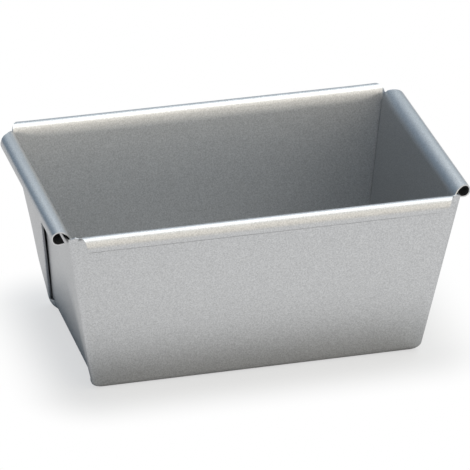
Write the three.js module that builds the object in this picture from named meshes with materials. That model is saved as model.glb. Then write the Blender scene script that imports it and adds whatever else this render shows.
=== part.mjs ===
// A small loaf pan folded from one blank of coated steel sheet: a flat base, four leaning walls, folded
// gussets lying on the end walls, hems along the long rims and hollow rolls along the short rims.
// Millimetres, +Z up. X runs along the length, Y from the front wall to the back wall, and the origin is
// the centre of the underside. The sheet is divided at its folds into one solid for each panel.
import * as THREE from 'three';

// Sheet
const SHEET = 0.4;

// Inside of the pan, between the faces of opposite walls
const BASE_LENGTH = 99.2;
const BASE_WIDTH = 60;
const RIM_LENGTH = 118.2;
const RIM_WIDTH = 81.2;
const RIM_HEIGHT = 56.4; // height of the trimmed corners, where the rim's length and width are measured

// Folds, by their outer radius
const BASE_BEND = 3;
const CORNER_BEND_FOOT = 1; // the upright bend at a corner widens from its foot to the rim
const CORNER_BEND_RIM = 2;

// Gussets
const PLY_GAP = 0.2; // room inside the fold, between its two plies
const GUSSET_STANDOFF = 0.2; // room between the end wall and the inner ply, at the corner
const GUSSET_SPLAY = THREE.MathUtils.degToRad(1.2); // turn of the plies away from the end wall
const GUSSET_DROP = 1.4; // height of the trimmed corners above the tops of the gussets
const GUSSET_MEETING = 2; // least distance between the folds of two facing gussets
const TOE_WIDTH = 3; // straight length of the toe below each gusset
const TOE_ROUND = 2; // radius of the toe's corner, seen from below
const TOE_BLEND = 2.5; // length in which the toe runs out into the bend under the end wall

// Rims
const RIM_TRIM = THREE.MathUtils.degToRad(18); // slant of the blank's edge at both ends of a hem or a roll

// Hems of the long rims
const HEM_DIAMETER = 5.4;
const HEM_TURN = THREE.MathUtils.degToRad(225); // how far the sheet curls from the wall to its free edge
const HEM_RISE = 1; // height of the hem above the trimmed corners, up the slope
const HEM_SETBACK = 0.5; // bare strip of the long wall between the hem's foot and the corner bend

// Rolls of the short rims
const ROLL_WIDTH = 5.9;
const ROLL_HEIGHT = 4.4;
const ROLL_RISE = 1.3; // height of the roll above the trimmed corners, up the slope

// Clearances
const SEAM = 0.06; // between two panels that meet at a fold
const LIP_CLEARANCE = 0.3; // between the free edge of a roll and the gussets
const TUCK_CLEARANCE = 0.3; // between the fold at a gusset's corner and the long wall

// Steps in a round stretch: a curve has twice as many facets
const BEND_STEPS = 3;
const RIM_STEPS = 7;

const SHEET_COLOUR = 0xb9b9b6;
const SHEET_ROUGHNESS = 0.4;
const SHEET_METALNESS = 0.95;

// Lean of the walls, and the thickness of the leaning sheet measured level
const endSlope = (RIM_LENGTH - BASE_LENGTH) / 2 / RIM_HEIGHT;
const sideSlope = (RIM_WIDTH - BASE_WIDTH) / 2 / RIM_HEIGHT;
const endTilt = Math.atan(endSlope);
const sideTilt = Math.atan(sideSlope);
const endSheet = SHEET / Math.cos(endTilt);
const sideSheet = SHEET / Math.cos(sideTilt);

// Level distances from the middle of the pan to the faces of the sheet, at a height
const endInside = (height) => BASE_LENGTH / 2 + endSlope * height;
const endOutside = (height) => endInside(height) + endSheet;
const gussetOutside = (height) => endOutside(height) + GUSSET_STANDOFF + 2 * endSheet + PLY_GAP;
const sideInside = (height) => BASE_WIDTH / 2 + sideSlope * height;
const sideOutside = (height) => sideInside(height) + sideSheet;

// Where the upright corner bend begins on a long wall, and where the corner fold begins on an end wall
const cornerWidening = (CORNER_BEND_RIM - CORNER_BEND_FOOT) / RIM_HEIGHT;
const cornerBend = (height) => CORNER_BEND_FOOT + cornerWidening * height;
const cornerStart = (height) => gussetOutside(height) - cornerBend(height);
const tuckRadius = (endSheet + GUSSET_STANDOFF) / 2;
const tuckStart = (height) => sideInside(height) - TUCK_CLEARANCE - SHEET / 2 - tuckRadius;

// The blank's angles about a bottom corner add up to a full turn. The base and the two walls take their
// share, and the gusset's two plies take half of the rest each. That sets where its fold runs.
const cornerLine = new THREE.Vector3(endSlope, sideSlope, 1).normalize();
const wallAngles = Math.acos(-cornerLine.x) + Math.acos(-cornerLine.y);
const plyAngle = (2 * Math.PI - Math.PI / 2 - wallAngles) / 2;
const cornerLean = Math.asin(cornerLine.y);
const foldRun = Math.tan(plyAngle - cornerLean) / Math.cos(endTilt);
const foldEdge = (height) => Math.max(sideOutside(0) - foldRun * height, GUSSET_MEETING / 2);
const foldRadius = (endSheet + PLY_GAP) / 2;
const foldDepth = foldRadius + SHEET / 2;

// The plies turn a little about the end of the corner bend, so their fold stands further out than it does.
const gussetTop = RIM_HEIGHT - GUSSET_DROP;
const cornerEnd = (height) => sideOutside(height) - cornerBend(height);
const splayAt = (height, across) => Math.tan(GUSSET_SPLAY) * (cornerEnd(height) - across);

const pan = new THREE.Group();

function addPiece(name, geometry, parent) {
  const material = new THREE.MeshStandardMaterial({
    color: SHEET_COLOUR,
    roughness: SHEET_ROUGHNESS,
    metalness: SHEET_METALNESS,
  });
  const piece = new THREE.Mesh(geometry, material);
  piece.name = name;
  parent.add(piece);
  return piece;
}

// Outline of a strip of sheet whose middle follows a line.
function strip(line) {
  const runs = line.slice(1).map((point, i) => point.clone().sub(line[i]).normalize());
  const offset = (side) => line.map((point, i) => {
    const into = runs[Math.max(i - 1, 0)];
    const onwards = runs[Math.min(i, runs.length - 1)];
    const along = into.clone().add(onwards).normalize();
    const across = new THREE.Vector2(-along.y, along.x);
    return point.clone().addScaledVector(across, side * SHEET / 2 / along.dot(into));
  });
  return [...offset(1), ...offset(-1).reverse()];
}

// Closed body through loops that have the same number of points, with a cap on the first and the last.
function loft(loops) {
  const turned = THREE.ShapeUtils.isClockWise(loops[0]);
  const rings = turned ? loops.map((loop) => [...loop].reverse()) : loops;
  const count = rings[0].length;
  const last = (rings.length - 1) * count;
  const faces = [];
  for (let start = 0; start < last; start += count) {
    for (let i = 0; i < count; i++) {
      const next = (i + 1) % count;
      faces.push(start + i, start + next, start + count + next);
      faces.push(start + i, start + count + next, start + count + i);
    }
  }
  for (const [a, b, c] of THREE.ShapeUtils.triangulateShape(rings[0], [])) {
    faces.push(c, b, a);
  }
  for (const [a, b, c] of THREE.ShapeUtils.triangulateShape(rings.at(-1), [])) {
    faces.push(last + a, last + b, last + c);
  }
  const geometry = new THREE.BufferGeometry().setFromPoints(rings.flat());
  geometry.setIndex(faces);
  return geometry;
}

// Half-size of the base at a height inside its bend. The bend's centre lies one outer radius above the
// underside, and the same centre serves the sheet's outer and inner face.
function bendHalf(height, outsideHalf, tilt, radius) {
  const centre = outsideHalf - BASE_BEND * Math.tan((Math.PI / 2 - tilt) / 2);
  return centre + Math.sqrt(radius ** 2 - (BASE_BEND - height) ** 2);
}

// One level loop of the base: a rectangle with round corners, whose ends step out to the toes.
function baseLoop(height, radius, toeRadius, hasToe) {
  const end = bendHalf(height, endOutside(0), endTilt, radius);
  const toe = hasToe ? bendHalf(height, gussetOutside(0), endTilt, radius) : end;
  const side = bendHalf(height, sideOutside(0), sideTilt, radius);
  const stepStart = side - TOE_WIDTH - TOE_BLEND;
  const stepMiddle = side - TOE_WIDTH - TOE_BLEND / 2;
  const quarter = new THREE.Path();
  quarter.moveTo(end, stepStart);
  quarter.bezierCurveTo(end, stepMiddle, toe, stepMiddle, toe, side - TOE_WIDTH);
  quarter.absarc(toe - toeRadius, side - toeRadius, toeRadius, 0, Math.PI / 2, false);
  const points = quarter.getPoints(BEND_STEPS);
  const mirror = (alongX, alongY) => {
    return points.map((p) => new THREE.Vector3(alongX * p.x, alongY * p.y, height));
  };
  return [
    ...mirror(1, 1),
    ...mirror(-1, 1).reverse(),
    ...mirror(-1, -1),
    ...mirror(1, -1).reverse(),
  ];
}

// The base and the bends round its edges, up to where the bends run out into the walls.
const wallFoot = BASE_BEND * (1 - Math.sin(Math.min(endTilt, sideTilt)));

function makeBase() {
  const facets = 2 * BEND_STEPS;
  const bendLevels = (radius) => {
    const lowest = BASE_BEND - radius;
    const step = Math.acos((BASE_BEND - wallFoot) / radius) / facets;
    return Array.from({ length: facets + 1 }, (_, i) => lowest + radius * (1 - Math.cos(step * i)));
  };
  const innerBend = BASE_BEND - SHEET;
  const innerRound = TOE_ROUND - SHEET;
  const outside = bendLevels(BASE_BEND).map((height) => baseLoop(height, BASE_BEND, TOE_ROUND, true));
  const inside = bendLevels(innerBend).map((height) => baseLoop(height, innerBend, innerRound, false));
  addPiece('base_panel', loft([...outside, ...inside.reverse()]), pan);
}

// A frame on the inner face of one wall: x level along the wall, y up the slope and z outwards.
function wallFrame(turn, baseSize, tilt) {
  const slope = new THREE.Group();
  slope.position.y = -baseSize / 2;
  slope.rotation.x = Math.PI / 2 + tilt;
  const side = new THREE.Group();
  side.rotation.z = turn;
  side.add(slope);
  pan.add(side);
  return slope;
}

// Distance up a wall's slope from the base line to a height, and to the foot of a wall panel.
const upSlope = (height, tilt) => height / Math.cos(tilt);
const panelFoot = (tilt) => upSlope(wallFoot + SEAM + SHEET * Math.sin(tilt), tilt);

function addPanel(name, corners, frame) {
  const outline = new THREE.Shape(corners.map(([along, up]) => new THREE.Vector2(along, up)));
  addPiece(name, new THREE.ExtrudeGeometry(outline, { depth: SHEET, bevelEnabled: false }), frame);
}

// A strip bent along a line in the section of a rim, carried along that rim. The line's x runs outwards
// and its y up the slope. The blank is trimmed at a slant there, so the strip narrows to its free edge.
function addRim(name, line, length, frame) {
  const travel = [0];
  for (let i = 1; i < line.length; i++) {
    travel.push(travel[i - 1] + line[i].distanceTo(line[i - 1]));
  }
  const insets = [...travel, ...travel.toReversed()].map((distance) => distance * Math.tan(RIM_TRIM));
  const outline = strip(line);
  const near = outline.map((p, i) => new THREE.Vector3(p.x, p.y, insets[i]));
  const far = outline.map((p, i) => new THREE.Vector3(p.x, p.y, length - insets[i]));
  const rim = addPiece(name, loft([near, far]), frame);
  rim.rotation.y = -Math.PI / 2;
  rim.position.x = length / 2;
}

// A long wall with bare corners at the rim, and its hem: a hollow curl whose free edge turns back to it.
function makeLongSide(side, turn) {
  const frame = wallFrame(turn, BASE_WIDTH, sideTilt);
  const foot = panelFoot(sideTilt);
  const rim = upSlope(RIM_HEIGHT, sideTilt);
  const hemFoot = rim + HEM_RISE - HEM_DIAMETER / 2;
  const edge = (up) => cornerStart(up * Math.cos(sideTilt)) - SEAM;
  const hemHalf = edge(hemFoot) - HEM_SETBACK;
  const rightHalf = [
    [edge(foot), foot],
    [edge(rim), rim],
    [hemHalf + SEAM, rim],
    [hemHalf + SEAM, hemFoot - SEAM],
  ];
  const leftHalf = rightHalf.map(([along, up]) => [-along, up]).reverse();
  addPanel(`${side}_wall`, [...rightHalf, ...leftHalf], frame);

  const hem = new THREE.Path();
  hem.absarc(HEM_DIAMETER / 2, hemFoot, (HEM_DIAMETER - SHEET) / 2, Math.PI, Math.PI - HEM_TURN, true);
  addRim(`${side}_rim_hem`, hem.getPoints(RIM_STEPS), 2 * hemHalf, frame);
}

// An end wall between the corner folds, and its roll: a hollow oval tube whose free edge comes back to
// the outside of the gussets.
function makeShortSide(side, turn) {
  const frame = wallFrame(turn, BASE_LENGTH, endTilt);
  const foot = panelFoot(endTilt);
  const rollFoot = upSlope(RIM_HEIGHT, endTilt) + ROLL_RISE - ROLL_HEIGHT / 2;
  const edge = (up) => tuckStart(up * Math.cos(endTilt)) - SEAM;
  const top = rollFoot - SEAM;
  const corners = [
    [-edge(foot), foot],
    [edge(foot), foot],
    [edge(top), top],
    [-edge(top), top],
  ];
  addPanel(`${side}_end_wall`, corners, frame);

  const halfWidth = (ROLL_WIDTH - SHEET) / 2;
  const halfHeight = (ROLL_HEIGHT - SHEET) / 2;
  const splayed = gussetOutside(gussetTop) + splayAt(gussetTop, foldEdge(gussetTop)) - endInside(gussetTop);
  const lip = splayed * Math.cos(endTilt) + LIP_CLEARANCE + SHEET / 2;
  const lipAngle = -Math.acos((lip - ROLL_WIDTH / 2) / halfWidth);
  const roll = new THREE.Path();
  roll.absellipse(ROLL_WIDTH / 2, rollFoot, halfWidth, halfHeight, Math.PI, lipAngle, true);
  addRim(`${side}_rim_roll`, roll.getPoints(RIM_STEPS + BEND_STEPS), 2 * edge(top), frame);
}

// Level section of a gusset, from the long wall round the corner, along the outer ply to the fold, back
// along the inner ply and round the corner fold to the end wall.
function gussetSection(height) {
  const outerPly = gussetOutside(height) - endSheet / 2;
  const innerPly = outerPly - endSheet - PLY_GAP;
  const cornerRadius = cornerBend(height) - SHEET / 2;
  const corner = cornerEnd(height);
  const fold = foldEdge(height) + foldDepth;
  const foldMiddle = outerPly - foldRadius + splayAt(height, fold);
  const tuck = tuckStart(height);
  const tuckMiddle = innerPly - tuckRadius + splayAt(height, tuck);
  const line = new THREE.Path();
  line.absarc(outerPly - cornerRadius, corner, cornerRadius, Math.PI / 2, 0, true);
  line.absarc(foldMiddle, fold, foldRadius, 0, -Math.PI, true);
  line.absarc(tuckMiddle, tuck, tuckRadius, 0, Math.PI, false);
  return strip(line.getPoints(BEND_STEPS));
}

// A gusset starts above the base, where its plies are long enough for the bends at both of their ends. At
// the top its corner bend slopes from the long wall's height down to the plies.
function makeGusset(name, alongX, alongY) {
  const plyGrowth = sideSlope + foldRun;
  const bendFits = (foldDepth + CORNER_BEND_FOOT + SEAM) / (plyGrowth - cornerWidening);
  const tuckFits = (foldDepth + sideOutside(0) - tuckStart(0) + SEAM) / plyGrowth;
  const foot = Math.max(wallFoot + SEAM, bendFits, tuckFits);
  const meeting = (sideOutside(0) - GUSSET_MEETING / 2) / foldRun;
  const heights = meeting < gussetTop ? [foot, meeting, gussetTop] : [foot, gussetTop];
  const place = (p, height) => new THREE.Vector3(alongX * p.x, alongY * p.y, height);
  const loops = heights.map((height) => gussetSection(height).map((p) => place(p, height)));
  const top = loops.pop().map((_, i, { length }) => {
    const alongCorner = Math.min(i, length - 1 - i, 2 * BEND_STEPS) / (2 * BEND_STEPS);
    const height = RIM_HEIGHT - alongCorner * GUSSET_DROP;
    return place(gussetSection(height)[i], height);
  });
  addPiece(name, loft([...loops, top]), pan);
}

makeBase();
makeLongSide('front', 0);
makeLongSide('back', Math.PI);
makeShortSide('left', -Math.PI / 2);
makeShortSide('right', Math.PI / 2);
for (const [depth, alongY] of [['front', -1], ['back', 1]]) {
  for (const [hand, alongX] of [['left', -1], ['right', 1]]) {
    makeGusset(`${depth}_${hand}_gusset`, alongX, alongY);
  }
}

export default pan;
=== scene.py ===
# %% [markdown]
# # A mini loaf pan, folded from one blank
#
# The real pan is one piece of thin coated steel sheet. A press folds up four leaning walls, pinches the
# spare sheet at each corner into a flat double flap on the end wall, and curls the top edges so that no
# hand meets a cut edge. This lesson makes each of those regions as its own surface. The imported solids
# come first: they fix every size, and what is made here keeps to their box within a fraction of a
# millimetre.

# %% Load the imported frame
import bmesh
import bpy
import numpy as np
from mathutils import Matrix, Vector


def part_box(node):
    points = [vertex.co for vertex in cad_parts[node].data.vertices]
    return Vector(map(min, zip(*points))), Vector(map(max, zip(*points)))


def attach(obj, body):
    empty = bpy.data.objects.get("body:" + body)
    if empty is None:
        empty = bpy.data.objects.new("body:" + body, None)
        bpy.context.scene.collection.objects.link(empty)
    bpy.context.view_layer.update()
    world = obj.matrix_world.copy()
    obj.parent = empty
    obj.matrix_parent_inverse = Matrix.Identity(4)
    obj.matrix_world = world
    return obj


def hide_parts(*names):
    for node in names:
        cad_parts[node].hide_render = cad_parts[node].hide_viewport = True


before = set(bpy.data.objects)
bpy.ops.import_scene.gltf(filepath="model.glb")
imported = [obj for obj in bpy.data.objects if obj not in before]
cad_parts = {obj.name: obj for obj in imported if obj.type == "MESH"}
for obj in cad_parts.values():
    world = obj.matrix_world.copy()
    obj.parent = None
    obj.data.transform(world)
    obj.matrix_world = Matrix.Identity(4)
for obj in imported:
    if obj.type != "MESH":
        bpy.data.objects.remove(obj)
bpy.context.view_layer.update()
MM = 0.001
print("solids in the frame:", len(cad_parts))

# %% [markdown]
# ## The sizes of the blank and its folds
#
# Everything below follows from a few sizes: the base, the rim, the height and the sheet. They repeat the
# values of the solids, in millimetres, because a maker thinks in those; a mesh is turned into metres only
# when it is written. The walls lean, so a sheet of 0.4 mm measures a little more along the horizontal.

# %% Sizes in millimetres
SHEET = 0.4
BASE_LENGTH, BASE_WIDTH = 99.2, 60.0
RIM_LENGTH, RIM_WIDTH, RIM_HEIGHT = 118.2, 81.2, 56.4

end_slope = (RIM_LENGTH - BASE_LENGTH) / 2 / RIM_HEIGHT
side_slope = (RIM_WIDTH - BASE_WIDTH) / 2 / RIM_HEIGHT
end_tilt, side_tilt = np.arctan(end_slope), np.arctan(side_slope)
end_sheet, side_sheet = SHEET / np.cos(end_tilt), SHEET / np.cos(side_tilt)
print("end walls lean", round(np.degrees(end_tilt), 2), "degrees")
print("long walls lean", round(np.degrees(side_tilt), 2), "degrees")

# %% [markdown]
# ## From a sheet's middle to a sheet with two faces
#
# A piece of folded sheet is known by the surface in the middle of its thickness. That surface is a grid
# of points, worked out as whole arrays. A Solidify modifier could give it thickness, but then the cut
# edges would share their shading with the broad faces. Here the two faces are pushed out along the
# normal and joined by a strip round the border, so the strip can have its own finish and crisp edges.

# %% A grid of points becomes a closed sheet
def quads(index):
    """Four-sided faces of a grid of point numbers: each joins a point to the next along and the next up."""
    corners = index[:-1, :-1], index[:-1, 1:], index[1:, 1:], index[1:, :-1]
    return np.stack(corners, axis=-1).reshape(-1, 4)


def thick_sheet(middle):
    """A closed sheet round a grid of middle points: half the thickness is added and taken away along the
    normal, which is the cross product of the two grid directions, and a strip closes the border. Gives
    the points, the faces, and which of the faces are cut edge."""
    normal = np.cross(np.gradient(middle, axis=1), np.gradient(middle, axis=0))
    normal /= np.linalg.norm(normal, axis=-1, keepdims=True)
    rows, columns = middle.shape[:2]
    index = np.arange(rows * columns).reshape(rows, columns)
    border = np.concatenate([index[0, :-1], index[:-1, -1], index[-1, :0:-1], index[:0:-1, 0]])
    onward = np.roll(border, -1)
    far = rows * columns
    points = np.concatenate([(middle + side * SHEET / 2 * normal).reshape(-1, 3) for side in (1, -1)])
    cut_edge = np.stack([border, border + far, onward + far, onward], axis=-1)
    faces = np.concatenate([quads(index), quads(index)[:, ::-1] + far, cut_edge])
    return points, faces, np.arange(len(faces)) >= len(faces) - len(cut_edge)


print("one cell of a grid:", quads(np.arange(4).reshape(2, 2)).tolist())

# %% [markdown]
# ## Putting a piece into the frame
#
# Folded sheet springs a little as it leaves the press. Each piece could be bent for itself, but then the
# joins would open, so all points go through one function that leans the near left corner of the rim in.
# Each new piece rides on the pan's only body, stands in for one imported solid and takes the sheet's
# finish. Smooth shading runs over the bends, and every edge sharper than 40 degrees, which means the cut
# edges, stays crisp. The two finishes are made further down and handed to all the pieces there.

# %% A pan that sprang a little
RIM_LEAN, LEAN_POWER = 0.5, 4


def out_of_true(points):
    """Points with the lean added along the pan: RIM_LEAN at the near left corner of the rim, times the
    share of the height, the share of the way from the back to the front, and a power of the share of the
    way from the middle to the left end."""
    x, y, z = points.T
    to_front = np.clip(0.5 - y / RIM_WIDTH, 0, 1)
    to_left = np.clip(-2 * x / RIM_LENGTH, 0, 1)
    lean = RIM_LEAN * z / RIM_HEIGHT * to_front * to_left**LEAN_POWER
    return points + np.stack([lean, 0 * lean, 0 * lean], axis=-1)


front_rim = np.array([[-1, -1, 2], [0, -1, 2]]) / 2 * [RIM_LENGTH, RIM_WIDTH, RIM_HEIGHT]
lean_shown = (out_of_true(front_rim) - front_rim)[:, 0]
print("lean at the near left corner and the middle of the rim, mm:", lean_shown.tolist())

# %% Make a mesh and hand it to the frame
CRISP_ANGLE = 40
made_pieces = []


def add_piece(name, node, points, faces, cut):
    """Writes points in millimetres and four-sided faces into a mesh, and lets it stand for a solid. The
    faces marked as cut take the second finish."""
    points = out_of_true(points)
    mesh = bpy.data.meshes.new(name)
    mesh.from_pydata((points * MM).tolist(), [], faces.tolist())
    mesh.polygons.foreach_set("use_smooth", np.ones(len(faces), dtype=bool))
    mesh.polygons.foreach_set("material_index", cut.astype(np.int32))
    mesh.set_sharp_from_angle(angle=np.radians(CRISP_ANGLE))
    piece = bpy.data.objects.new(name, mesh)
    bpy.context.scene.collection.objects.link(piece)
    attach(piece, "root")
    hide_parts(node)
    made_pieces.append(piece)
    low, high = (np.array(corner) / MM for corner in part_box(node))
    beyond = max((points.max(axis=0) - high).max(), (low - points.min(axis=0)).max())
    print(f"{name}: {len(faces)} faces, at most {beyond:.2f} mm outside its solid")
    return piece


print("edges stay crisp from", CRISP_ANGLE, "degrees")

# %% [markdown]
# ## The walls as lines over height
#
# Seen from above, a wall at any height is a straight line, and it moves out as it rises. So the place of
# a wall is a function of height. On the slope itself two other directions are handier: up along the
# sheet, and out, square to it. The rims are drawn in those.

# %% Where the walls stand at a height
def end_inside(z):
    """Inner face of an end wall: half the base, plus the slope times the height."""
    return BASE_LENGTH / 2 + end_slope * z


def side_inside(z):
    """Inner face of a long wall, in the same way."""
    return BASE_WIDTH / 2 + side_slope * z


def on_slope(half, tilt, up, out):
    """A point of a leaning wall's own plane, up along the sheet and out from its inner face, turned by the
    tilt into the distance from the middle of the pan and the height."""
    distance = half + up * np.sin(tilt) + out * np.cos(tilt)
    height = up * np.cos(tilt) - out * np.sin(tilt)
    return distance, height


rim_inside = 2 * end_inside(RIM_HEIGHT), 2 * side_inside(RIM_HEIGHT)
print("rim inside, mm:", np.round(rim_inside, 2).tolist())

# %% [markdown]
# ## The corner fold
#
# At a corner the sheet cannot shrink, so it is folded: the long wall runs round a bend on to the end of
# the pan, comes back on itself at a slanting fold, and tucks in behind to become the end wall. How far
# the flap reaches at a height could be measured by eye, but it follows from the blank alone, because the
# angles round the bottom corner must still add up to a full turn less the square cut from it. These lines
# give the fold its place.

# %% Where the slanting fold runs
PLY_GAP, STANDOFF = 0.2, 0.2

corner_line = np.array([end_slope, side_slope, 1.0])
corner_line /= np.linalg.norm(corner_line)
end_angle, side_angle = np.arccos(-corner_line[:2])
# Round the bottom corner the blank has three quarters of a turn left for both walls and two plies.
turn_left = 1.5 * np.pi
ply_angle = (turn_left - end_angle - side_angle) / 2
fold_run = np.tan(ply_angle - np.arcsin(corner_line[1])) / np.cos(end_tilt)
fold_radius = (end_sheet + PLY_GAP) / 2


def end_outside(z):
    """Outer face of the end wall: its inner face and the sheet."""
    return end_inside(z) + end_sheet


def flap_outside(z):
    """Outer face of the flap: the end wall, a slit, two plies and the gap between them."""
    return end_outside(z) + STANDOFF + 2 * end_sheet + PLY_GAP


def fold_start(z):
    """Where the flap turns back: the slanting fold line runs in from the bottom corner, and the turn
    itself is half a sheet and its radius wide."""
    return side_inside(0) + side_sheet - fold_run * z + fold_radius + SHEET / 2


print("fold runs in", round(fold_run, 3), "mm for each mm of height")

# %% The bend at the corner and the tuck behind it
FRONT, BACK = -1, 1
CORNER_BEND_FOOT, CORNER_BEND_RIM = 1.0, 2.0
BACK_TIGHT_TO, BACK_WIDE_FROM = 50.0, 55.0
TUCK_CLEARANCE = 0.15

tuck_radius = (end_sheet + STANDOFF) / 2


def smooth_step(value, start, end):
    """0 before start and 1 after end; between them, three times the square of the way less twice its
    cube."""
    way = np.clip((value - start) / (end - start), 0, 1)
    return way**2 * (3 - 2 * way)


def corner_bend(z, side):
    """Outer radius of the bend from the long wall on to the end: at the front it widens evenly towards the
    rim, and at the back it stays tight and widens along a smooth step just below the rim."""
    widened = smooth_step(z, BACK_TIGHT_TO, BACK_WIDE_FROM) if side == BACK else z / RIM_HEIGHT
    return CORNER_BEND_FOOT + (CORNER_BEND_RIM - CORNER_BEND_FOOT) * widened


def tuck_start(z):
    """Where the inner ply turns in to become the end wall, just short of the long wall's inner face."""
    return side_inside(z) - TUCK_CLEARANCE - SHEET / 2 - tuck_radius


print("corner bend at the rim:", corner_bend(RIM_HEIGHT, FRONT), "mm")

# %% [markdown]
# ## The base
#
# The base is a flat floor whose edges turn up in a small bend, and at each corner the folded plies push
# out a little toe. A bevelled box would have the bend, but not the toes. So the base is a stack of closed
# loops: from the middle of the underside out to the edge, up round the bend, over the cut edge, down the
# inside and back to the middle. Each loop is a rounded rectangle with its own size, height and corner, so
# the whole base is one function of two parameters.

# %% Half sizes of the base's loops
BASE_BEND = 3.0


def bent_half(z, half, tilt, radius):
    """Half size of a loop at a height: on the arc of the base bend below its tangent point, and on the
    straight slope above it."""
    centre = half - BASE_BEND * np.tan((np.pi / 2 - tilt) / 2)
    arc = centre + np.sqrt(np.maximum(radius**2 - (BASE_BEND - z) ** 2, 0))
    straight = half + np.tan(tilt) * z - (BASE_BEND - radius) / np.cos(tilt)
    return np.where(z < BASE_BEND - radius * np.sin(tilt), arc, straight)


flat_half = bent_half(0.0, end_outside(0), end_tilt, BASE_BEND)
print("underside flat to", np.round(flat_half, 2), "mm from the middle")

# %% One loop: a rounded rectangle with toes
TOE_WIDTH, TOE_BLEND = 2.6, 2.2
END_POINTS, TURN_POINTS, SIDE_POINTS = 25, 10, 8


def rounded_loop(end, toe, side, corner):
    """A quarter of a loop for each row: up the end, out on to the toe along a smooth step, round the
    corner and along the side; then the quarter is turned over for the other three. The square root draws
    the points of the end closer together towards the toe."""
    y_end = np.linspace(0, 1, END_POINTS)[None, :] ** 0.5 * (side - corner)
    x_end = end + (toe - end) * smooth_step(y_end, side - TOE_WIDTH - TOE_BLEND, side - TOE_WIDTH)
    angle = np.linspace(0, np.pi / 2, TURN_POINTS)[None, 1:]
    x_turn = toe - corner + corner * np.cos(angle)
    y_turn = side - corner + corner * np.sin(angle)
    x_side = (toe - corner) * np.linspace(1, 0, SIDE_POINTS)[None, 1:]
    x = np.concatenate([x_end, x_turn, x_side], axis=1)
    y = np.concatenate([y_end, y_turn, side + 0 * x_side], axis=1)
    x = np.concatenate([x, -x[:, -2::-1], -x[:, 1:], x[:, -2:0:-1]], axis=1)
    y = np.concatenate([y, y[:, -2::-1], -y[:, 1:], -y[:, -2:0:-1]], axis=1)
    return x, y


print("points of a loop:", 4 * (END_POINTS + TURN_POINTS + SIDE_POINTS - 3))

# %% Heights of the loops
FOOT = 2.8
BEND_POINTS = 12
# One loop divides the flat, this share of the way out from the middle.
FLAT_SPREAD = 0.6

inner_bend = BASE_BEND - SHEET
bend = np.linspace(0, np.pi / 2 - end_tilt, BEND_POINTS)
z_outer = np.concatenate([[0, 0], BASE_BEND * (1 - np.cos(bend)), [FOOT]])
z_inner = np.concatenate([[FOOT], BASE_BEND - inner_bend * np.cos(bend[::-1]), [SHEET, SHEET]])
spread = np.concatenate([[0, FLAT_SPREAD], np.ones(BEND_POINTS + 1)])
print("loops:", len(z_outer), "outside and", len(z_inner), "inside")

# %% Base: loops from the middle of the underside to the middle of the inside
TOE_ROUNDING, INNER_CORNER = 1.2, 0.8


def base_points():
    """Every loop scaled by its spread and set at its height. The outer ones carry the toes, and their
    corners are rounder towards the underside."""
    end, side = end_outside(0), side_inside(0) + side_sheet
    z = z_outer[:, None]
    x_out, y_out = rounded_loop(
        bent_half(z, end, end_tilt, BASE_BEND),
        bent_half(z, flap_outside(0), end_tilt, BASE_BEND),
        bent_half(z, side, side_tilt, BASE_BEND),
        corner_bend(FOOT, FRONT) + TOE_ROUNDING * (1 - z / FOOT))
    z = z_inner[:, None]
    inner_end = bent_half(z, end, end_tilt, inner_bend)
    inner_side = bent_half(z, side, side_tilt, inner_bend)
    x_in, y_in = rounded_loop(inner_end, inner_end, inner_side, INNER_CORNER + 0 * z)
    x = np.concatenate([x_out * spread[:, None], x_in * spread[::-1, None]])
    y = np.concatenate([y_out * spread[:, None], y_in * spread[::-1, None]])
    return np.stack([x, y, np.concatenate([z_outer, z_inner])[:, None] + 0 * x], axis=-1)


loops = base_points()
loop_count, loop_points = loops.shape[:2]
ring = np.arange(loop_count * loop_points).reshape(loop_count, loop_points)
base_faces = quads(np.concatenate([ring, ring[:, :1]], axis=1))
on_cut_edge = base_faces[:, 0] // loop_points == len(z_outer) - 1
base = add_piece("base_sheet", "base_panel", loops.reshape(-1, 3), base_faces, on_cut_edge)

# %% Close the base where its loops shrink to a point
MERGE_DISTANCE = 1e-7

merged = bmesh.new()
merged.from_mesh(base.data)
bmesh.ops.remove_doubles(merged, verts=merged.verts, dist=MERGE_DISTANCE)
bmesh.ops.recalc_face_normals(merged, faces=merged.faces)
merged.to_mesh(base.data)
print("base closed:", all(edge.is_manifold for edge in merged.edges))
print("metal in the base, mm3:", round(merged.calc_volume() / MM**3))
merged.free()

# %% [markdown]
# ## The long walls
#
# A long wall is a flat sheet that leans out. Two corner points would do for a flat one, but a pressed
# wall is never quite flat: between its stiff edges it bellies out by a fraction of a millimetre, and a
# metal that mirrors its surroundings shows that. So the wall is a grid with a low swell in its middle.
# Under the rim the sheet starts to bend out in a wide arc before it curls tightly. The arc belongs to the
# hem, so the wall stops lower there, and a little further in.

# %% Points that lie closer towards the ends
CLOSER = 0.35
WALL_COLUMNS = 49


def closer_ends(count):
    """From -1 to 1 in one row: even steps, plus a share of the difference between them and their cubes."""
    even = np.linspace(-1, 1, count)[None, :]
    return even + CLOSER * (even - even**3)


along = closer_ends(WALL_COLUMNS)
steps_along = np.diff(along[0])
print("last step against the widest:", round(steps_along[-1] / steps_along.max(), 2))

# %% Sizes of the long rims
HEM_DIAMETER, HEM_RISE = 5.5, 1.12
# The wide arc: its radius, its turn in degrees, and the power by which it fades out at the stiff corners.
FLARE_RADIUS, FLARE_TURN, FLARE_POWER = 18.0, 8, 16
# A wall stops short of its neighbours, which carry on with strips of their own: under a rim and beside a
# tuck, and beside a corner bend.
SEAM_STRIP, EAR = 0.3, 0.56

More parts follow.
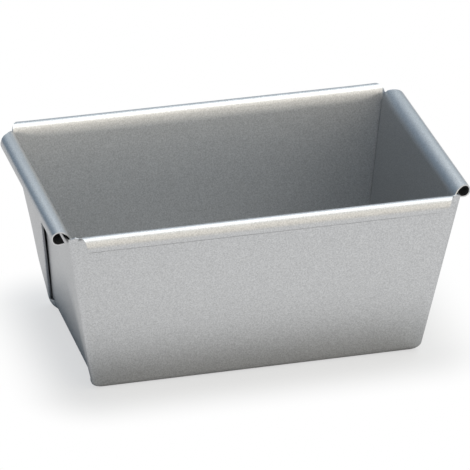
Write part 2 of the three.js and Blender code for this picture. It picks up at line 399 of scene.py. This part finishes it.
hem_radius = (HEM_DIAMETER - SHEET) / 2
hem_centre = RIM_HEIGHT / np.cos(side_tilt) + HEM_RISE - HEM_DIAMETER / 2
flare_up = (FLARE_RADIUS - hem_radius) * np.sin(np.radians(FLARE_TURN))
flare_in = (FLARE_RADIUS - hem_radius) * (1 - np.cos(np.radians(FLARE_TURN)))
flare_share = 1 - along**FLARE_POWER
print("wide arc:", round(flare_up, 2), "mm high, and sets the wall in by", round(flare_in, 2), "mm")

# %% Long walls: flat sheets with a low swell
WALL_ROWS = 21
WALL_SWELL = 0.12

foot_up = (FOOT + SHEET / 2 * np.sin(side_tilt)) / np.cos(side_tilt)


def wall_half(z, side):
    """Half length of a long wall between the strips that carry on into the corner bends."""
    return flap_outside(z) - corner_bend(z, side) - EAR


def long_wall(side):
    """Up the slope by along the wall; the swell is the product of two half waves, and towards the wide
    arc the wall moves in by the square of the rise."""
    rise = np.linspace(0, 1, WALL_ROWS)[:, None]
    up = foot_up + (hem_centre - SEAM_STRIP - flare_up * flare_share - foot_up) * rise
    swell = WALL_SWELL * np.sin(np.pi * rise) * np.cos(np.pi * along / 2) - flare_in * flare_share * rise**2
    out, z = on_slope(BASE_WIDTH / 2, side_tilt, up, SHEET / 2 + swell)
    return np.stack([along * wall_half(z, side), side * out, z], axis=-1)


for name, side in (("front", FRONT), ("back", BACK)):
    add_piece(f"{name}_wall_sheet", f"{name}_wall", *thick_sheet(long_wall(side)))

# %% [markdown]
# ## The hems of the long rims
#
# The top of a long wall is curled outwards until it comes down again, and its cut edge is turned in a
# little. A bevelled curve could carry a curl along the rim, but it would end square. Here a curl is arcs
# in a row, each starting where the last one points: the wide arc, the curl and the turned edge. Its ends
# are cut at a slant, because the blank was slit there: the sheet inside the slit curls, and the sheet
# outside it stays with the corner. The slant is a length that shrinks as the sheet travels.

# %% Arcs in a row
lead = np.array([-SEAM_STRIP, -SEAM_STRIP / 2, 0])


def arcs_in_a_row(radii, turns, step):
    """Middle line of a curl as travel, up and out from where it leaves the wall, after a short straight
    lead. The heading turns evenly up to each arc's last angle; a small turn moves by the radius times the
    change of its sine and cosine, and those moves are added up."""
    heading = np.radians(np.arange(0, turns[-1] + step / 2, step))
    half_way = (heading[:-1] + heading[1:]) / 2
    radius = np.array(radii)[np.searchsorted(np.radians(turns), half_way)]
    travel = np.concatenate([lead, np.cumsum(radius * np.diff(heading))])
    up = np.concatenate([lead, np.cumsum(radius * np.diff(np.sin(heading)))])
    out = np.concatenate([0 * lead, np.cumsum(-radius * np.diff(np.cos(heading)))])
    return travel[:, None], up[:, None], out[:, None]


# Headings in degrees at which the curl and its turned edge end, and the step from point to point.
HEM_TURN, EDGE_TURN, HEM_STEP = 184, 230, 2
EDGE_RADIUS = 0.5

plain_curl = arcs_in_a_row((hem_radius, EDGE_RADIUS), (HEM_TURN, EDGE_TURN), HEM_STEP)
flared_curl = arcs_in_a_row(
    (FLARE_RADIUS, hem_radius, EDGE_RADIUS), (FLARE_TURN, HEM_TURN, EDGE_TURN), HEM_STEP)
hem_travel, hem_up, hem_out = plain_curl
print("a hem takes", round(hem_travel.max(), 1), "mm of sheet")

# %% Where the slits cut the hems
# For each corner: how far past the wall's edge its slit starts, and how much it runs in for each mm of
# travel.
SLIT = {
    "front_left": (0.0, 0.28),
    "front_right": (0.8, 0.5),
    "back_left": (1.95, 0.48),
    "back_right": (1.95, 0.48),
}

hem_start_z = hem_centre * np.cos(side_tilt) - SHEET / 2 * np.sin(side_tilt)


def side_of(corner):
    """The long side that a corner is on."""
    return BACK if corner.startswith("back") else FRONT


def slit_at(corner, travel):
    """Half length at the slit: the wall's edge, or the slanting slit where that is shorter."""
    start, run_in = SLIT[corner]
    side = side_of(corner)
    edge = wall_half(hem_start_z + np.minimum(travel, 0) * np.cos(side_tilt), side)
    return np.minimum(edge, wall_half(hem_start_z, side) + start - run_in * np.maximum(travel, 0))


print("front curl ends", round(slit_at("front_left", hem_travel)[-1, 0], 2), "mm left of the middle")

# %% Hems: a curl carried along the rim
# The press left the front curl a little taller and the back one a little lower.
HEM_STRETCH = {"front": 0.07, "back": -0.03}


def rim_hem(name, side):
    """Along the curl by along the rim; the ends follow the slits. Away from the corners the curl starts
    with the wide arc, set so that the rest of it stays in place."""
    flared_up, flared_out = flared_curl[1:]
    up = hem_up + flare_share * (flared_up - flare_up - hem_up)
    up = up + flare_share * HEM_STRETCH[name] * np.maximum(up, 0)
    out = hem_out + flare_share * (flared_out - flare_in - hem_out)
    out, z = on_slope(BASE_WIDTH / 2, side_tilt, hem_centre + up, SHEET / 2 + out)
    right = slit_at(f"{name}_right", hem_travel)
    left = slit_at(f"{name}_left", hem_travel)
    x = (1 + along) / 2 * right - (1 - along) / 2 * left
    return np.stack(np.broadcast_arrays(x, side * out, z), axis=-1)


for name, side in (("front", FRONT), ("back", BACK)):
    add_piece(f"{name}_hem_curl", f"{name}_rim_hem", *thick_sheet(rim_hem(name, side)))

# %% [markdown]
# ## The end walls and their rolled rims
#
# An end wall is made like a long one, but its rim is rolled further, into a tube that closes over the
# tops of the corner flaps. A plain tube would sit there as a rod. The real sheet leaves the wall in a wide
# arc, turns over in a tighter one, comes back under in a third and runs nearly flat at last, so the same
# arcs in a row draw it, and the hollow stays open to the eye at both ends.

# %% Middle line of a roll
ROLL_RISE = 1.3
# The radii of the arcs, the headings in degrees at which they end, and the step from point to point.
ROLL_RADII, ROLL_TURNS, ROLL_STEP = (4.5, 2.25, 1.9, 8.5), (60, 180, 264, 276), 4

roll_travel, roll_up, roll_out = arcs_in_a_row(ROLL_RADII, ROLL_TURNS, ROLL_STEP)
roll_start = RIM_HEIGHT / np.cos(end_tilt) + ROLL_RISE - SHEET / 2 - roll_up.max()
roll_start_z = roll_start * np.cos(end_tilt) - SHEET / 2 * np.sin(end_tilt)
print("roll", round(roll_out.max() + SHEET, 2), "mm wide, from", round(roll_travel.max(), 1), "mm of sheet")

# %% One end wall and one roll
# The ends of the rolls were cut by hand shears: for each corner, how far the cut has run in at some
# distances of travel from the wall, over the top, to the outer side.
CUT_TRAVEL = (0, 1.6, 3.1, 5.5, 8.0)
ROLL_CUT = {
    "front_left": (0, 1.8, 2.1, 2.3, 2.7),
    "front_right": (0, 1.4, 2.2, 3.2, 4.4),
    "back_left": (0, 0, 0, 3.8, 5.7),
    "back_right": (0, 0, 0.4, 2.5, 3.4),
}
END_SWELL = 0.06
END_COLUMNS, ROLL_COLUMNS = 31, 41

end_foot_up = (FOOT + SHEET / 2 * np.sin(end_tilt)) / np.cos(end_tilt)


def end_wall(end):
    """Up the slope by across the pan, with half the swell of a long wall."""
    up = np.linspace(end_foot_up, roll_start - SEAM_STRIP, WALL_ROWS)[:, None]
    rise = (up - end_foot_up) / (roll_start - end_foot_up)
    across = np.linspace(-1, 1, END_COLUMNS)[None, :]
    swell = END_SWELL * np.sin(np.pi * rise) * np.cos(np.pi * across / 2)
    out, z = on_slope(BASE_LENGTH / 2, end_tilt, up, SHEET / 2 + swell)
    return np.stack([end * out, across * (tuck_start(z) - SEAM_STRIP), z], axis=-1)


def rim_roll(name, end):
    """Round the roll by across the pan, with closer points towards the ends. Each end runs in along its
    cut, which is straight between the given distances."""
    across = closer_ends(ROLL_COLUMNS)
    half = tuck_start(roll_start_z)
    front = half - np.interp(roll_travel, CUT_TRAVEL, ROLL_CUT[f"front_{name}"])
    back = half - np.interp(roll_travel, CUT_TRAVEL, ROLL_CUT[f"back_{name}"])
    y = (1 + across) / 2 * back - (1 - across) / 2 * front
    out, z = on_slope(BASE_LENGTH / 2, end_tilt, roll_start + roll_up, SHEET / 2 + roll_out)
    return np.stack(np.broadcast_arrays(end * out, y, z), axis=-1)


print("a roll runs to", round(tuck_start(roll_start_z), 2), "mm from the middle before it is cut")

# %% End walls and rolls
LEFT, RIGHT = -1, 1

for name, end in (("left", LEFT), ("right", RIGHT)):
    add_piece(f"{name}_end_sheet", f"{name}_end_wall", *thick_sheet(end_wall(end)))
    add_piece(f"{name}_roll_tube", f"{name}_rim_roll", *thick_sheet(rim_roll(name, end)))

# %% [markdown]
# ## The corner flaps
#
# A flap is one run of sheet followed from the long wall to the end wall: a bend, the outer ply, the
# slanting fold, the inner ply and the tuck. It could be folded by hand from a flat mesh, but every fold
# line would have to be guessed. At each height the run is a line in plan, so the flap is that line carried
# up the corner. The folded sheet springs back a little, so the plies stand off the end wall further the
# nearer they come to the fold, and the outer ply bulges beside it. Above the slit, the strip beside the
# hem stands up as a flat ear at the front corners; at the back ones it curls over with the hem and fades
# out round the bend.

# %% Columns of a flap, from the ear to the end of the tuck
# How far a flat ear stands above the start of the hem, how much that changes towards the slit, and the
# height at which the bend ends.
EAR_RISE, EAR_TIP, BEND_TOP = 1.75, -0.4, 55.2
FLAP_STEPS = 12

share = np.linspace(0, 1, FLAP_STEPS + 1)
turn, ply, ear = share[1:], share[1:-1], share[::FLAP_STEPS // 2]
quarter, half_turn = turn * np.pi / 2, share * np.pi
plan_angle = np.concatenate([0 * ear, quarter])
curl_share = 1 - plan_angle * 2 / np.pi
bend_length = (corner_bend(hem_start_z, FRONT) - SHEET / 2) * quarter
past_edge = np.concatenate([EAR * ear, EAR + bend_length])
bend_rise = (BEND_TOP - hem_start_z) / np.cos(side_tilt)
flat_ear = np.concatenate([EAR_RISE + EAR_TIP * (1 - ear), EAR_RISE + (bend_rise - EAR_RISE) * turn])
print("ear and bend take", round(past_edge.max(), 2), "mm of sheet")

# %% How high each column of a flap reaches
INNER_PLY_TOP = 53.9
FLAP_TOP = {"front_left": 54.0, "front_right": 55.2, "back_left": 54.4, "back_right": 54.4}
FLAP_ROWS = 17
BELOW_HEM, BELOW_TOP = 0.3, 0.5


def flap_heights(corner):
    """Heights of a flap's points as on a flat sheet: even steps to just under the hem, then even steps to
    each column's top, which at a curling ear follows the slit."""
    start, run_in = SLIT[corner]
    curling_ear = np.maximum((start - past_edge) / run_in, bend_rise)
    rise = curling_ear if side_of(corner) == BACK else flat_ear
    ply_top = FLAP_TOP[corner]
    top = np.concatenate([
        hem_start_z + rise * np.cos(side_tilt),
        np.full(len(ply), ply_top),
        ply_top + (INNER_PLY_TOP - ply_top) * share,
        INNER_PLY_TOP + (roll_start_z - INNER_PLY_TOP) * ply,
        np.full(len(share) + 1, roll_start_z)])
    middle = np.minimum(hem_start_z - BELOW_HEM, top - BELOW_TOP)
    steps = np.linspace(0, 1, FLAP_ROWS)[:, None]
    return np.concatenate([FOOT + (middle - FOOT) * steps, middle + (top - middle) * steps[1:]])


print("columns of a flap:", flap_heights("front_left").shape[1])

# %% Ear and bend of a flap
def corner_x(z, side):
    """Middle of the corner bend along the pan: the flap's outer face less the radius."""
    return flap_outside(z) - corner_bend(z, side)


def corner_y(z, side):
    """Middle of the corner bend across the pan: the long wall's outer face less the radius."""
    return side_inside(z) + side_sheet - corner_bend(z, side)


def ear_and_bend(corner, z):
    """The strip beside the hem and the bend after it. Where it curls, a point above the slit moves to the
    hem's arc by a share that fades round the bend, and is pushed out square to the bend."""
    side = side_of(corner)
    rise = np.maximum(z - hem_start_z, 0) / np.cos(side_tilt)
    up_curl = hem_centre + hem_radius * np.sin(rise / hem_radius)
    out_curl = HEM_DIAMETER / 2 - hem_radius * np.cos(rise / hem_radius)
    y_curl, z_curl = on_slope(BASE_WIDTH / 2, side_tilt, up_curl, out_curl)
    fades = np.where(rise > 0, curl_share, 0) * (side == BACK)
    push = fades * (y_curl - side_inside(z_curl) - side_sheet / 2)
    z = z + fades * (z_curl - z)
    radius = corner_bend(z, side)
    bend_x = corner_x(z, side) + (radius - end_sheet / 2 + push) * np.sin(plan_angle)
    y = corner_y(z, side) + (radius - side_sheet / 2 + push) * np.cos(plan_angle)
    columns = len(ear)
    inner = np.where(rise > 0, slit_at(corner, rise), wall_half(z, side))[:, :columns]
    ear_x = inner + (corner_x(z, side)[:, :columns] - inner) * ear
    return np.concatenate([ear_x, bend_x[:, columns:]], axis=1), y, z


print("corner bend's middle at the foot:", round(corner_x(FOOT, FRONT), 2), round(corner_y(FOOT, FRONT), 2))

# %% Drift, spring and bulge of a flap
# The fold of the near left flap came out short of its line, and that of the far left one went past it.
DRIFT = {"front_left": 4.4, "front_right": 0.0, "back_left": -2.6, "back_right": 0.0}
DRIFT_HEIGHT, DRIFT_POWER = 22.0, 1.5
# The angle in degrees by which the folded plies have sprung off the end wall.
SPRING = {"front_left": 0.3, "front_right": 0.6, "back_left": 0.9, "back_right": 0.6}
BOW, BOW_WIDTH, BOW_WHOLE_FROM = 0.45, 8.0, 10


def fold_at(corner, z):
    """Where this flap turns back: the fold line of the blank, and its drift, which grows over the lower
    half of the flap and then holds, as a hyperbolic tangent does."""
    return fold_start(z) + DRIFT[corner] * np.tanh((z / DRIFT_HEIGHT) ** DRIFT_POWER)


def sprung(corner, z, y):
    """How far the plies stand off: the spring's tangent times the distance from the corner bend."""
    return np.tan(np.radians(SPRING[corner])) * np.maximum(corner_y(z, side_of(corner)) - y, 0)


def bowed(corner, z, y):
    """How far the outer ply bulges beside the fold, which was not pressed sharp: a bump that rises over
    BOW_WIDTH from the fold and dies away, lower where the ply is short."""
    away = (y - fold_at(corner, z)) / BOW_WIDTH
    ply_length = corner_y(z, side_of(corner)) - fold_at(corner, z)
    return BOW * away * np.exp(1 - away) * np.clip(ply_length / BOW_WHOLE_FROM, 0, 1)


print("near left fold under the rim:", round(fold_at("front_left", BEND_TOP), 2), "mm from the middle")

# %% Corner flaps: a folded line carried up the corner
def corner_flap(corner, end, side):
    """Height by along the run. Straight lengths are shares between two lines of the fold, and turns are
    half circles about their centres; the points of the outer ply lie closer at the fold."""
    heights = flap_heights(corner)
    sizes = [len(plan_angle), len(ply), len(share), len(ply), len(share)]
    z_ear, z_outer_ply, z_fold, z_inner_ply, z_tuck, z_strip = np.split(heights, np.cumsum(sizes), axis=1)
    x_ear, y_ear, z_ear = ear_and_bend(corner, z_ear)
    z = z_outer_ply
    y_outer_ply = corner_y(z, side) + (fold_at(corner, z) - corner_y(z, side)) * (1 - (1 - ply) ** 2)
    x_outer_ply = flap_outside(z) - end_sheet / 2 + sprung(corner, z, y_outer_ply)
    x_outer_ply = x_outer_ply + bowed(corner, z, y_outer_ply)
    z = z_fold
    y_fold = fold_at(corner, z) - fold_radius * np.sin(half_turn)
    x_fold = flap_outside(z) - end_sheet - PLY_GAP / 2 + fold_radius * np.cos(half_turn)
    x_fold = x_fold + sprung(corner, z, fold_at(corner, z))
    z = z_inner_ply
    y_inner_ply = fold_at(corner, z) + (tuck_start(z) - fold_at(corner, z)) * ply
    x_inner_ply = end_outside(z) + STANDOFF + end_sheet / 2 + sprung(corner, z, y_inner_ply)
    z = z_tuck
    y_tuck = tuck_start(z) + tuck_radius * np.sin(half_turn)
    x_tuck = end_outside(z) + STANDOFF / 2 + tuck_radius * np.cos(half_turn)
    x_strip, y_strip = end_outside(z_strip) - end_sheet / 2, tuck_start(z_strip) - SEAM_STRIP
    x = np.concatenate([x_ear, x_outer_ply, x_fold, x_inner_ply, x_tuck, x_strip], axis=1)
    y = np.concatenate([y_ear, y_outer_ply, y_fold, y_inner_ply, y_tuck, y_strip], axis=1)
    z = np.concatenate([z_ear, heights[:, len(plan_angle):]], axis=1)
    return np.stack([end * x, side * y, z], axis=-1)


for corner in SLIT:
    end = RIGHT if corner.endswith("right") else LEFT
    add_piece(f"{corner}_flap", f"{corner}_gusset", *thick_sheet(corner_flap(corner, end, side_of(corner))))

# %% [markdown]
# ## The finish: cold-rolled steel with a bright tinned coat
#
# The sheet is steel with a thin metal coat, rolled to a satin face. It mirrors its surroundings softly,
# so its grey is mostly theirs. Close up the coat has a fine mottle, where its grains freeze with slightly
# different polish. One flat grey would lack that, and a picture of metal would bring another room's
# reflections with it. Noise on Object coordinates gives grains of one size on every piece, and they run on
# across the joins. The cut edges show the bare steel, a little rougher, and their colour is set a touch
# lighter than the coat's as a painted highlight along the edge.

# %% Colour and node helpers
def linear(code):
    """An sRGB hex colour as linear red, green, blue and alpha: the sRGB curve undone for each channel."""
    channel = np.array([int(code[i:i + 2], 16) for i in (1, 3, 5)]) / 255
    return (*np.where(channel <= 0.04045, channel / 12.92, ((channel + 0.055) / 1.055) ** 2.4), 1.0)


def add_node(tree, kind, settings, sockets):
    """Adds one node. Settings are its own properties; sockets take a value or another node's output."""
    node = tree.nodes.new(kind)
    for key, value in settings.items():
        setattr(node, key, value)
    for key, value in sockets.items():
        if isinstance(value, bpy.types.NodeSocket):
            tree.links.new(value, node.inputs[key])
        else:
            node.inputs[key].default_value = value
    return node


print("mid grey in linear light:", np.round(linear("#808080")[:3], 3).tolist())

# %% Tinned steel, rolled satin
# To the eye it is a blurred mirror: soft bright bands on the rims, an even grey on the walls, and a fine
# cloudy mottle. The real grains are too fine to show, so they are drawn 0.42 mm wide.
GRAIN = 0.42
DULL_GRAIN, BRIGHT_GRAIN = "#B4B5B6", "#CFD0D1"
# At grazing angles the satin coat mirrors less than a clean metal would.
GRAZING_TINT = 0.75

tinned = bpy.data.materials.new("tinned_steel_rolled_satin")
tinned.use_nodes = True
tree = tinned.node_tree
shader = tree.nodes["Principled BSDF"]
place = add_node(tree, "ShaderNodeTexCoord", {}, {}).outputs["Object"]
mottle = add_node(tree, "ShaderNodeTexNoise", {}, {
    "Vector": place, "Scale": 1 / (GRAIN * MM), "Detail": 3.0, "Roughness": 0.6}).outputs["Fac"]
speckle = add_node(tree, "ShaderNodeMapRange", {}, {
    "Value": mottle, "From Min": 0.36, "From Max": 0.64}).outputs["Result"]
tint = add_node(tree, "ShaderNodeMix", {"data_type": "RGBA"}, {"Factor": speckle})
tint.inputs["A"].default_value = linear(DULL_GRAIN)
tint.inputs["B"].default_value = linear(BRIGHT_GRAIN)
polish = add_node(tree, "ShaderNodeMapRange", {}, {"Value": speckle, "To Min": 0.34, "To Max": 0.40})
relief = add_node(tree, "ShaderNodeBump", {}, {"Height": mottle, "Strength": 0.06, "Distance": 0.1 * MM})
tree.links.new(tint.outputs["Result"], shader.inputs["Base Color"])
tree.links.new(polish.outputs["Result"], shader.inputs["Roughness"])
tree.links.new(relief.outputs["Normal"], shader.inputs["Normal"])
shader.inputs["Specular Tint"].default_value = (GRAZING_TINT, GRAZING_TINT, GRAZING_TINT, 1)
shader.inputs["Metallic"].default_value = 1.0
print("mottle grains of", GRAIN, "mm")

# %% Bare steel of the cut edges, with a painted highlight
# To the eye it is a thin bright line where the sheet ends, broken by the scores of the shears. Those are
# too fine to show as well, so they are drawn 0.5 mm wide. The duller colour is lighter than the coat's
# duller one, which paints a highlight along that line; the noise between the two draws the scores.
SCORE = 0.5
DULL_SCORE_AND_HIGHLIGHT, BRIGHT_SCORE_AND_HIGHLIGHT = "#BFC0C1", "#CFD0D0"

sheared_edge_and_highlight = bpy.data.materials.new("steel_sheared_edge_and_highlight")
sheared_edge_and_highlight.use_nodes = True
tree = sheared_edge_and_highlight.node_tree
shader = tree.nodes["Principled BSDF"]
place = add_node(tree, "ShaderNodeTexCoord", {}, {}).outputs["Object"]
scores = add_node(tree, "ShaderNodeTexNoise", {}, {
    "Vector": place, "Scale": 1 / (SCORE * MM), "Detail": 2.0}).outputs["Fac"]
# The lighter edge colour paints a highlight along the cut edge; the noise between the two colours draws the
# scores.
tint = add_node(tree, "ShaderNodeMix", {"data_type": "RGBA"}, {"Factor": scores})
tint.inputs["A"].default_value = linear(DULL_SCORE_AND_HIGHLIGHT)
tint.inputs["B"].default_value = linear(BRIGHT_SCORE_AND_HIGHLIGHT)
tree.links.new(tint.outputs["Result"], shader.inputs["Base Color"])
shader.inputs["Metallic"].default_value = 1.0
shader.inputs["Roughness"].default_value = 0.4
print("scores of", SCORE, "mm")

# %% Both finishes go to every piece
for piece in made_pieces:
    piece.data.materials.append(tinned)
    piece.data.materials.append(sheared_edge_and_highlight)
print("finished pieces:", len(made_pieces))

# %% [markdown]
# ## The floor
#
# The pan stands on a pale table. Metal shows what it faces, and the front wall leans over the table, so it
# shows the table with the pan's own shadow on it. A floor that is white all over would lose that shadow,
# and one that is only lit would turn grey far off. So close to the pan the paint takes light and shadow as
# paint does, and further off it turns pure white, for the eye and for reflections. The shadow that the eye
# sees directly is lifted towards white, while the metal keeps mirroring the whole of it.

# %% Pale floor
# Sprayed matt white paint gives the eye an even, pale ground with no shine.
FLOOR_REACH = 2.5

floor_mesh = bpy.data.meshes.new("floor")
floor_corners = np.array([(-1, -1, 0), (1, -1, 0), (1, 1, 0), (-1, 1, 0)]) * FLOOR_REACH
floor_mesh.from_pydata(floor_corners.tolist(), [], [(0, 1, 2, 3)])
floor = bpy.data.objects.new("floor", floor_mesh)
bpy.context.scene.collection.objects.link(floor)
paint = bpy.data.materials.new("matt_white_paint_sprayed")
paint.use_nodes = True
tree = paint.node_tree
shader = tree.nodes["Principled BSDF"]
shader.inputs["Base Color"].default_value = linear("#D0D0D0")
shader.inputs["Roughness"].default_value = 0.9
shader.inputs["Specular IOR Level"].default_value = 0.1
floor_mesh.materials.append(paint)
print("floor", 2 * FLOOR_REACH, "m square")

# %% How far a point of the floor is from the base
half_base = (BASE_LENGTH / 2 * MM, BASE_WIDTH / 2 * MM, 0)

place = add_node(tree, "ShaderNodeTexCoord", {}, {}).outputs["Object"]
mirrored = add_node(tree, "ShaderNodeVectorMath", {"operation": "ABSOLUTE"}, {0: place}).outputs["Vector"]
past_base = add_node(tree, "ShaderNodeVectorMath", {"operation": "SUBTRACT"}, {
    0: mirrored, 1: half_base}).outputs["Vector"]
outside = add_node(tree, "ShaderNodeVectorMath", {"operation": "MAXIMUM"}, {
    0: past_base, 1: (0, 0, 0)}).outputs["Vector"]
distance = add_node(tree, "ShaderNodeVectorMath", {"operation": "LENGTH"}, {0: outside}).outputs["Value"]
print("half base, m:", np.round(half_base, 4).tolist())

# %% White away from the pan, with the pan's shadow close by
WHITE_FROM, WHITE_BY = 3.0, 28.0
SHADOW_LIFT = 0.6

ray = add_node(tree, "ShaderNodeLightPath", {}, {}).outputs
lifted = add_node(tree, "ShaderNodeMath", {"operation": "MULTIPLY"}, {
    0: ray["Is Camera Ray"], 1: SHADOW_LIFT}).outputs["Value"]
whiten = add_node(tree, "ShaderNodeMapRange", {"interpolation_type": "SMOOTHSTEP"}, {
    "Value": distance, "From Min": WHITE_FROM * MM, "From Max": WHITE_BY * MM,
    "To Min": lifted}).outputs["Result"]
seen = add_node(tree, "ShaderNodeMath", {"operation": "ADD"}, {
    0: ray["Is Camera Ray"], 1: ray["Is Glossy Ray"]}).outputs["Value"]
seen = add_node(tree, "ShaderNodeMath", {"operation": "ADD", "use_clamp": True}, {
    0: seen, 1: ray["Is Transmission Ray"]}).outputs["Value"]
share_white = add_node(tree, "ShaderNodeMath", {"operation": "MULTIPLY"}, {
    0: seen, 1: whiten}).outputs["Value"]
white = add_node(tree, "ShaderNodeEmission", {}, {
    "Color": (1, 1, 1, 1), "Strength": 1.0}).outputs["Emission"]
blend = add_node(tree, "ShaderNodeMixShader", {}, {
    "Fac": share_white, 1: shader.outputs["BSDF"], 2: white}).outputs["Shader"]
tree.links.new(blend, tree.nodes["Material Output"].inputs["Surface"])
print("floor white from", WHITE_BY, "mm off the base")

# %% [markdown]
# ## The room and the soft light
#
# Satin metal has little colour of its own, so the room decides its greys. An even white room would leave
# every wall the same. This one is bright and warm in front, cool behind, dim on the left and brighter
# above, as a studio with one open side is: the inside of the far wall shows the front of the room, and the
# rolls show the back and the left. One soft panel hangs low over the pan and draws the bright bands on the
# rims.

# %% The room: warm in front, cool behind, dim on the left
ROOM_FRONT, ROOM_BACK, ROOM_LEFT = "#FFF9EE", "#BDC9D3", "#677B8E"

world = bpy.data.worlds.new("soft_lit_room")
bpy.context.scene.world = world
world.use_nodes = True
tree = world.node_tree
towards = add_node(tree, "ShaderNodeTexCoord", {}, {}).outputs["Generated"]
direction = add_node(tree, "ShaderNodeSeparateXYZ", {}, {"Vector": towards}).outputs
behind = add_node(tree, "ShaderNodeMapRange", {"interpolation_type": "SMOOTHSTEP"}, {
    "Value": direction["Y"], "From Min": -0.6, "From Max": 0.7}).outputs["Result"]
room = add_node(tree, "ShaderNodeMix", {"data_type": "RGBA"}, {"Factor": behind})
room.inputs["A"].default_value = linear(ROOM_FRONT)
room.inputs["B"].default_value = linear(ROOM_BACK)
open_side = add_node(tree, "ShaderNodeMapRange", {}, {
    "Value": direction["X"], "From Min": -0.55, "From Max": -0.1}).outputs["Result"]
dimmed = add_node(tree, "ShaderNodeMix", {"data_type": "RGBA"}, {"Factor": open_side})
dimmed.inputs["A"].default_value = linear(ROOM_LEFT)
tree.links.new(room.outputs["Result"], dimmed.inputs["B"])
brighter_above = add_node(tree, "ShaderNodeMapRange", {}, {
    "Value": direction["Z"], "From Max": 0.4, "To Min": 1.04, "To Max": 1.34}).outputs["Result"]
sky = tree.nodes["Background"]
tree.links.new(dimmed.outputs["Result"], sky.inputs["Color"])
tree.links.new(brighter_above, sky.inputs["Strength"])
print("room made:", world.name)

# %% The soft light
# An area light shines straight down as it is made, so it needs no turn.
PANEL_WIDTH, PANEL_DEPTH = 0.30, 0.25
PANEL_PLACE = (0.08, 0.07, 0.255)
PANEL_BRIGHTNESS = 1.15

panel = bpy.data.lights.new("softbox_above", "AREA")
panel.shape = "RECTANGLE"
panel.size, panel.size_y = PANEL_WIDTH, PANEL_DEPTH
# A flat panel's power is four times its area times the brightness that it shows.
panel.energy = 4 * PANEL_WIDTH * PANEL_DEPTH * PANEL_BRIGHTNESS
panel.color = linear("#FFFEFA")[:3]
lamp = bpy.data.objects.new("softbox_above", panel)
lamp.location = PANEL_PLACE
bpy.context.scene.collection.objects.link(lamp)
bpy.context.scene.view_settings.view_transform = "Standard"
print("soft light gives", round(panel.energy, 2), "watts")

# %% [markdown]
# ## The camera
#
# A camera was fitted to the edges and corners of the pan in the photograph, which is why its angles have
# odd decimals. It stands far off with a long lens, because the pan's long edges hardly draw together. Its
# three axes are written as the columns of a matrix, which takes in the small roll as well.

# %% Camera at the photograph's angle
AIM = np.array([2.01, 4.98, 28.83]) * MM
AZIMUTH, ELEVATION, ROLL = np.radians([-14.324, 25.609, -0.236])
DISTANCE = 1.5366
LENS, SENSOR = 383.4, 36

level = np.array([np.cos(AZIMUTH), np.sin(AZIMUTH), 0])
to_eye = np.array([
    np.sin(AZIMUTH) * np.cos(ELEVATION), -np.cos(AZIMUTH) * np.cos(ELEVATION), np.sin(ELEVATION)])
upright = np.cross(to_eye, level)
camera_right = level * np.cos(ROLL) + upright * np.sin(ROLL)
camera_up = upright * np.cos(ROLL) - level * np.sin(ROLL)
eye = bpy.data.cameras.new("camera")
eye.lens, eye.sensor_width = LENS, SENSOR
camera = bpy.data.objects.new("camera", eye)
facing = Matrix([camera_right, camera_up, to_eye]).transposed().to_4x4()
camera.matrix_world = Matrix.Translation(AIM + DISTANCE * to_eye) @ facing
bpy.context.scene.collection.objects.link(camera)
bpy.context.scene.camera = camera
print("camera at", np.round(AIM + DISTANCE * to_eye, 3).tolist())
